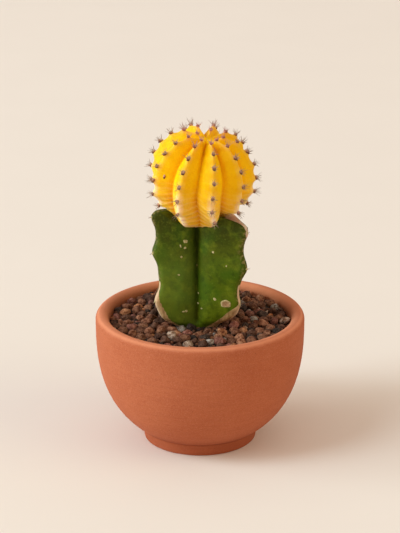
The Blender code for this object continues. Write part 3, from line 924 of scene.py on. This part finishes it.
def add_scar(heap, azimuth, z, wide, tall, kind, draw):
    """A low dry scab on the stock's skin, or a ring of one."""
    start = draw.uniform(0, 50)
    degree = (stock_point(azimuth + 1, z) - stock_point(azimuth - 1, z)).length / 2
    profile = SCAR_PROFILES["plain" if kind == "slanting" else kind]
    rings, pink = [], []
    for share, height in profile:
        ring = []
        for j in range(SCAR_SIDES):
            turn = math.tau * j / SCAR_SIDES
            ragged = 1 + 0.3 * noise.noise(Vector((math.cos(turn) * 1.5, math.sin(turn) * 1.5, start)))
            across = share * ragged * wide * math.cos(turn)
            above = share * ragged * tall * math.sin(turn)
            across -= 0.3 * above if kind == "slanting" else 0.0
            point, out, _, _ = stock_frame(azimuth + across / degree, z + above)
            ring.append(point + out * height)
        rings.append(ring)
        pink += [(0.8 if share < 0.7 else 0.3) if kind == "pink" else 0.0] * SCAR_SIDES
    point, out, _, _ = stock_frame(azimuth, z)
    points, faces = skin(rings, point - out * 0.3, point + out * profile[-1][1])
    heap.add(points, faces, pink=pink + [0.0, pink[-1]])


def make_scars():
    draw = random.Random(SCAR_SEED)
    heap = Heap()
    for azimuth, z, wide, tall, kind in LARGE_SCARS:
        add_scar(heap, azimuth, z, wide, tall, kind, draw)
    front = random.Random(FRONT_SCAR_SEED)
    for _ in range(FRONT_SCARS):
        azimuth, z = front.uniform(-54, 56), front.uniform(59, 97)
        wide, tall = front.uniform(0.3, 0.6), front.uniform(0.25, 0.7)
        add_scar(heap, azimuth, z, wide, tall, "slanting" if tall > 0.6 else "plain", draw)
    for _ in range(OTHER_SCARS):
        azimuth = draw.uniform(70, 282)
        size = draw.uniform(0.3, 0.8)
        kind = "ringed" if size > 0.7 else "plain"
        add_scar(heap, azimuth, draw.uniform(58, 95), size, size * draw.uniform(0.7, 1.0), kind, draw)
    heap.piece("stock_scars", scar_look(), "green_stem", "rootstock")


def make_tufts():
    """The small felt pads along the wings' edges, with a few short spines each."""
    draw = random.Random(TUFT_SEED)
    pads, spines = Heap(), Heap()
    for wing, azimuth in enumerate(WING_AZIMUTHS):
        for level, _ in WING_AREOLES[wing]:
            root, out, up, side = stock_frame(azimuth, level)
            add_pad(pads, root, out, up, side, draw.uniform(0.6, 0.8), 0.0, draw, Vector)
            for _ in range(draw.randint(2, 4)):
                flat = up * draw.uniform(-1, 1) + side * draw.uniform(-0.6, 0.6)
                direction = (out + flat * 0.9).normalized()
                length = draw.uniform(0.9, 1.6)
                add_spine(spines, root + out * 0.2, direction, up * 0.1, length, 0.08, 0.0, where=Vector)
    pads.piece("wing_areoles", scar_look(), "green_stem", "rootstock")
    spines.piece("wing_spines", spine_look(), "green_stem", "rootstock")


# -------- scion


def rib_azimuths(polar):
    """The ribs' crests at this height. Some ribs turn aside towards the lower end."""
    turned = smooth((polar - 88) / 62) ** 1.6
    return [azimuth + drift * turned for azimuth, drift in zip(RIB_AZIMUTHS, RIB_DRIFT)]


def rib_phase(azimuth, polar):
    """(index of the nearest rib, 0 on its crest to 1 in the furrow beside it)."""
    best = None
    crests = rib_azimuths(polar)
    count = len(crests)
    for index, crest in enumerate(crests):
        turn = (azimuth - crest + 180) % 360 - 180
        beside = crests[(index + (1 if turn > 0 else -1)) % count]
        half = abs((beside - crest + 180) % 360 - 180) / 2
        phase = abs(turn) / half
        if best is None or phase < best[1]:
            best = (index, phase)
    return best


def areole_angles(rib):
    """The polar angles of a rib's areoles."""
    angle = AREOLE_FIRST[rib]
    found = []
    while angle < AREOLE_LAST:
        found.append(angle)
        angle += AREOLE_STEP
    return found


AREOLES = [areole_angles(rib) for rib in range(len(RIB_AZIMUTHS))]


def nearness(rib, polar, spread, offset=0.0):
    """1 at a rib's areoles, fading to 0 between them."""
    return sum(math.exp(-(((polar - areole - offset) / spread) ** 2)) for areole in AREOLES[rib])


def aside_of(azimuth):
    """0 on the two ribs that hang down in front, 1 round the sides and back."""
    return smooth((abs((azimuth + 188) % 360 - 180) - 30) / 30)


def ball_reach(polar, azimuth):
    """From the ball's centre to its skin, which furrows part and which swells below each areole."""
    rib, phase = rib_phase(azimuth, polar)
    phase = min(1.0, phase)
    dip = CROWN_DIP * math.exp(-((polar / CROWN_SPREAD) ** 2))
    low = math.radians(polar)
    height, power = (BALL_RISE, 2.0) if polar < 90 else (BALL_FALL, BALL_POWER)
    across = (math.sin(low) / BALL_RADIUS) ** power
    along_axis = (abs(math.cos(low)) / height) ** power
    crest = (1 - dip) / (across + along_axis) ** (1 / power)
    depth = RIB_DEPTH * smooth(polar / 30) * (1 - 0.72 * smooth((polar - 112) / 44))
    crest *= 1 - (FRONT_TAPER + SIDE_TAPER * aside_of(azimuth)) * smooth((polar - 108) / 28)
    grown = 0.65 + 0.35 * smooth((polar - 40) / 60)
    chin = CHIN_HEIGHT * grown * nearness(rib, polar, CHIN_SPREAD, 1.0)
    return crest - depth * phase**FLANK_POWER + chin * (1 - phase) ** 2


def on_ball(polar, azimuth, reach):
    low, turn = math.radians(polar), math.radians(azimuth)
    return Vector((
        reach * math.sin(low) * math.sin(turn),
        -reach * math.sin(low) * math.cos(turn),
        BALL_CENTRE_Z + reach * math.cos(low),
    ))


def placed(point):
    """From the ball's own frame to the plant's, leaning on its seat."""
    return LEAN.to_matrix() @ Vector(point) + SEAT


def flattened(point, extra=0.0):
    """The point, brought back to the ribs' end plane, grown by extra, if it lies beyond."""
    beyond = (END_POINT - point).dot(END_NORMAL) - extra + 0.5 * noise.noise(point * 0.55)
    return point + END_NORMAL * beyond * 0.93 if beyond > 0 else point


def ball_columns(polar, steps):
    """Azimuths round the ball, with steps from each crest to the furrow beside it."""
    crests = rib_azimuths(polar)
    found = []
    for index, crest in enumerate(crests):
        turn = (crests[(index + 1) % len(crests)] - crest) % 360
        found += [crest + turn * step / (2 * steps) for step in range(2 * steps)]
    return found


def ball_surface(extra=0.0, rows=150, steps=16):
    """Points, faces and marks of the ribbed ball, grown by extra all over."""
    marks = {"furrow": [], "polar": [], "felt": [], "base": [], "young": []}
    rings = []
    for row in range(rows):
        polar = BASE_POLAR * (row + 1) / rows
        ring = []
        for azimuth in ball_columns(polar, steps):
            rib, phase = rib_phase(azimuth, polar)
            reach = ball_reach(polar, azimuth) + extra + wrinkle(polar, azimuth)
            ring.append(flattened(placed(on_ball(polar, azimuth, reach)), extra))
            marks["furrow"].append(phase)
            marks["polar"].append(polar / BASE_POLAR)
            near = min(1.0, nearness(rib, polar, 5.0)) * max(0.0, 1 - phase * 3.2)
            marks["felt"].append(near)
            blush = min(1.0, nearness(rib, polar, 6.0)) * max(0.0, 1 - phase * 2.6)
            marks["young"].append(blush * smooth((46 - polar) / 22))
            above = (ring[-1] - END_POINT).dot(END_NORMAL)
            wear_and_painted_highlight = smooth((polar - 150 + 12 * aside_of(azimuth)) / 8)
            marks["base"].append(max(wear_and_painted_highlight, 0.8 * smooth(1.2 - above / 0.7)))
        rings.append(ring)
    crown = BALL_CENTRE_Z + BALL_RISE * (1 - CROWN_DIP) + extra
    for name, values in marks.items():
        values += [0.0, 1.0 if name in ("polar", "base") else 0.0]
    points, faces = skin(rings, placed((0, 0, crown)), placed((0, 0, -extra)))
    return points, faces, marks


def wrinkle(polar, azimuth):
    """The fine growth bands across the ribs, stronger lower down."""
    low = smooth((polar - 75) / 45) * smooth((158 - polar) / 8)
    turn = math.radians(azimuth)
    wander = noise.noise(Vector((math.sin(turn) * 2, math.cos(turn) * 2, polar * 0.03)))
    band = math.sin(polar * 0.95 + wander * 2.2)
    return low * 0.11 * band + 0.05 * wander


def frame_at(polar, azimuth):
    """(point on the skin, outward, towards the crown, sideways) in the ball's own frame."""
    root = on_ball(polar, azimuth, ball_reach(polar, azimuth))
    above = on_ball(polar - 1, azimuth, ball_reach(polar - 1, azimuth))
    below = on_ball(polar + 1, azimuth, ball_reach(polar + 1, azimuth))
    up = (above - below).normalized()
    out = (root - Vector((0, 0, BALL_CENTRE_Z))).normalized()
    out = (out - up * out.dot(up)).normalized()
    return root, out, up, out.cross(up)


def tube(path, radii, sides):
    """A closed tapering rod through path's points."""
    rings = []
    for i, (point, radius) in enumerate(zip(path, radii)):
        ahead = path[min(i + 1, len(path) - 1)] - path[max(i - 1, 0)]
        turn = ahead.to_track_quat("Z", "Y").to_matrix()
        rings.append([point + turn @ Vector(p) for p in circle(radius, sides)])
    return skin(rings, path[0], path[-1])


def add_spine(heap, root, direction, bend, length, radius, young, steps=5, sides=6, where=placed):
    """A curved spine or hair. where takes its points to the plant's frame."""
    path, radii, share = [], [], []
    for i in range(steps + 1):
        t = i / steps
        path.append(root + direction * length * t + bend * length * t * t)
        radii.append(radius * (1 - t) ** 0.8 + 0.02)
        share += [t] * sides
    points, faces = tube(path, radii, sides)
    heap.add([where(p) for p in points], faces, along=share + [0.0, 1.0], young=young)


def add_pad(heap, root, out, up, side, size, young, draw, where=placed):
    """An areole's oval felt pad, with painted shade darker towards its lower edge and the skin."""
    shape, faces = ball_mesh(2)
    start = Vector([draw.uniform(-9, 9) for _ in range(3)])
    points, shade = [], []
    for x, y, z in shape:
        rough = 1 + 0.45 * noise.noise(Vector((x, y, z)) * 2.4 + start)
        point = root + (side * x * 0.85 + up * y * 1.1) * size * rough + out * (z * 0.5 * size * rough)
        points.append(where(point))
        # painted shade: darker low on the pad and towards the skin
        shade.append(min(1.0, max(0.0, 0.42 + 0.5 * y + 0.4 * (z - 0.5))))
    heap.add(points, faces, shade=shade, young=young)


def inside_stock(point):
    """Whether the stock's top would cover what stands there."""
    azimuth = azimuth_of(point.x - STOCK_X, point.y)
    away = math.hypot(point.x - STOCK_X, point.y)
    return point.z < stock_top(azimuth) + 1.0 and away < stock_reach(azimuth, point.z) + 0.5


def make_ball():
    points, faces, marks = ball_surface()
    grow("yellow_ball", points, faces, ball_skin_look(), "yellow_flesh", "scion", marks)


def add_spines(heap, place, polar, young, draw):
    """The spines of one areole. place is what frame_at() gives there."""
    root, out, up, side = place
    count = SPINES if polar > 22 else CROWN_SPINES
    for index in range(count):
        turn = math.radians(180 + 360 * index / count + draw.uniform(-20, 20))
        splay = math.radians(draw.uniform(22, 62))
        flat = up * math.cos(turn) + side * math.sin(turn)
        direction = out * math.cos(splay) + flat * math.sin(splay)
        bend = (out * 0.3 - flat * 0.1) * draw.uniform(-0.3, 0.9)
        length = draw.uniform(*SPINE_LENGTHS) * (0.7 if polar < 30 else 1.0)
        start = root + out * 0.2 + flat * 0.3
        add_spine(heap, start, direction, bend, length, SPINE_RADIUS, young)


def add_hairs(heap, place, size, young, draw):
    """The loose hairs of one areole's felt."""
    root, out, up, side = place
    for _ in range(HAIRS):
        turn = draw.uniform(0, math.tau)
        flat = up * math.cos(turn) + side * math.sin(turn)
        start = root + flat * draw.uniform(0.1, 0.95) * size + out * 0.12
        direction = (out + flat * draw.uniform(0.2, 1.4)).normalized()
        length = draw.uniform(*HAIR_LENGTHS)
        add_spine(heap, start, direction, up * 0.1, length, HAIR_RADIUS, young, steps=2, sides=3)


def make_areoles():
    """Felt pads, hairs and spines along the ball's ribs, and the dry spot between two of them."""
    draw = random.Random(SPINE_SEED)
    pads, spines, hairs = Heap(), Heap(), Heap()
    for rib, angles in enumerate(AREOLES):
        for polar in angles:
            place = frame_at(polar, rib_azimuths(polar)[rib])
            if inside_stock(placed(place[0])):
                continue
            young = smooth((46 - polar) / 26)
            size = draw.uniform(0.85, 1.1) * (1.0 - 0.15 * smooth((polar - 60) / 50)) * (1.0 - 0.2 * young)
            add_pad(pads, *place, size, young * 0.8, draw)
            add_spines(spines, place, polar, young, draw)
            add_hairs(hairs, place, size, young, draw)
    root, out, up, side = frame_at(*SCAB)
    add_pad(pads, root - out * 0.42, out, up, side, 1.0, 0.0, draw)
    pads.piece("areole_pads", felt_look(), "yellow_flesh", "scion")
    spines.piece("spines", spine_look(), "yellow_flesh", "scion")
    hairs.piece("felt_hairs", hair_look(), "yellow_flesh", "scion")


# -------- studio


def make_floor():
    rings = [circle(radius, 96) for radius in (8000, 900, 300)]
    points, faces = skin(rings, None, (0, 0, 0))
    floor = grow("studio_floor", points, faces, paper_look(), None)


def light(name, place, size, power, colour):
    """A round lamp turned to the plant."""
    lamp = bpy.data.lights.new(name, "AREA")
    lamp.shape = "DISK"
    lamp.size = size
    lamp.energy = power
    lamp.color = colour
    obj = add_object(name, lamp)
    obj.location = place
    obj.rotation_euler = (LOOK_AT - place).to_track_quat("-Z", "Y").to_euler()


def make_lights():
    for name, offset, size, power, colour in LIGHTS:
        light(name, LOOK_AT + Vector(offset), size, power, colour)
    world = bpy.data.worlds.new("studio")
    bpy.context.scene.world = world
    world.use_nodes = True
    background = world.node_tree.nodes["Background"]
    background.inputs["Color"].default_value = (*WORLD_COLOUR, 1)
    background.inputs["Strength"].default_value = WORLD_STRENGTH
    view = bpy.context.scene.view_settings
    view.view_transform = "Standard"
    view.look = "None"


def make_camera():
    camera = bpy.data.cameras.new("camera")
    camera.lens = CAMERA_LENS
    camera.sensor_width = 36.0
    camera.clip_end = 30.0
    obj = add_object("camera", camera)
    obj.location = CAMERA_PLACE
    obj.rotation_euler = (math.radians(CAMERA_TILT), 0, 0)
    bpy.context.scene.camera = obj


make_camera()
make_floor()
make_lights()
make_pot()
make_grit_bed()
make_pebbles()
make_stock()
make_scars()
make_tufts()
make_ball()
make_areoles()
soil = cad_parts["soil"]
soil.data.materials.clear()
soil.data.materials.append(grit_look("potting_mix", (34, 22, 16), (78, 54, 38), 1.1))
